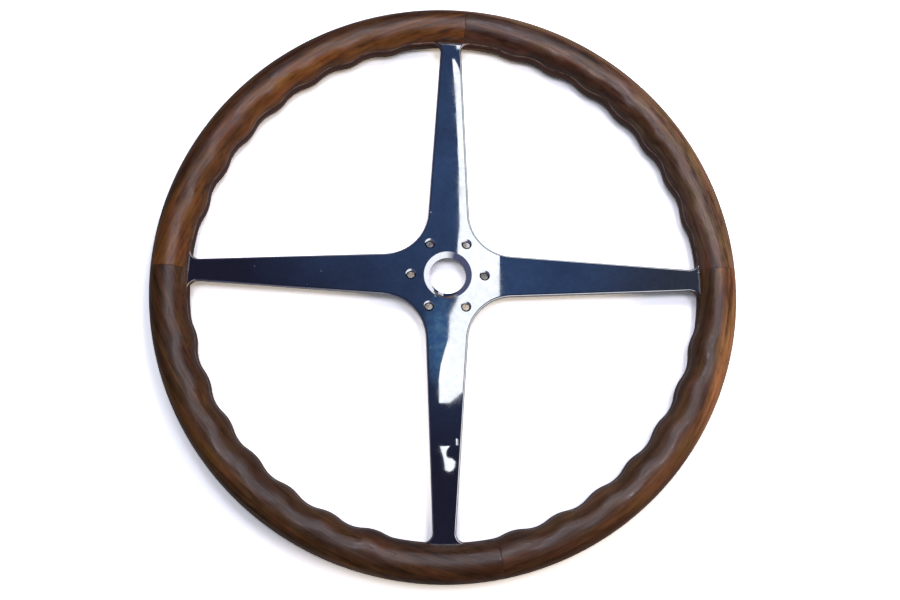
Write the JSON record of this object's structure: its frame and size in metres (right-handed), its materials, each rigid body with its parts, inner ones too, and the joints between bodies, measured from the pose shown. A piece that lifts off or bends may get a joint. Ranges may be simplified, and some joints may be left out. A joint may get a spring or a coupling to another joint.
{
  "type": "boat steering wheel",
  "caption": "Spoked boat steering wheel with a dark wooden rim with finger grips on its inner side, and a polished metal spider with a bored, drilled hub.",
  "frame": {"origin": "centre of the bore on the back face of the hub", "axes": "+Z along the wheel's axis towards the helmsman, +Y up the top spoke, +X along the right-hand spoke; the wheel lies on the back of its rim"},
  "size_m": [0.4, 0.4, 0.029],
  "materials": {
    "polished_plate": "bright chrome plate, mirror polished, light pitting and fine scratches",
    "front_wood": "oiled dark walnut, satin sheen, darkened by handling",
    "back_wood": "oiled dark walnut, satin sheen, darkened by handling",
    "screw_brass": "plain brass, dulled"
  },
  "bodies": {
    "root": {"spider": "polished_plate", "front_rim_upper_right": "front_wood", "front_rim_upper_left": "front_wood", "front_rim_lower_left": "front_wood", "front_rim_lower_right": "front_wood", "back_rim_top": "back_wood", "back_rim_left": "back_wood", "back_rim_bottom": "back_wood", "back_rim_right": "back_wood", "rim_screws": "screw_brass"}
  },
  "joints": []
}
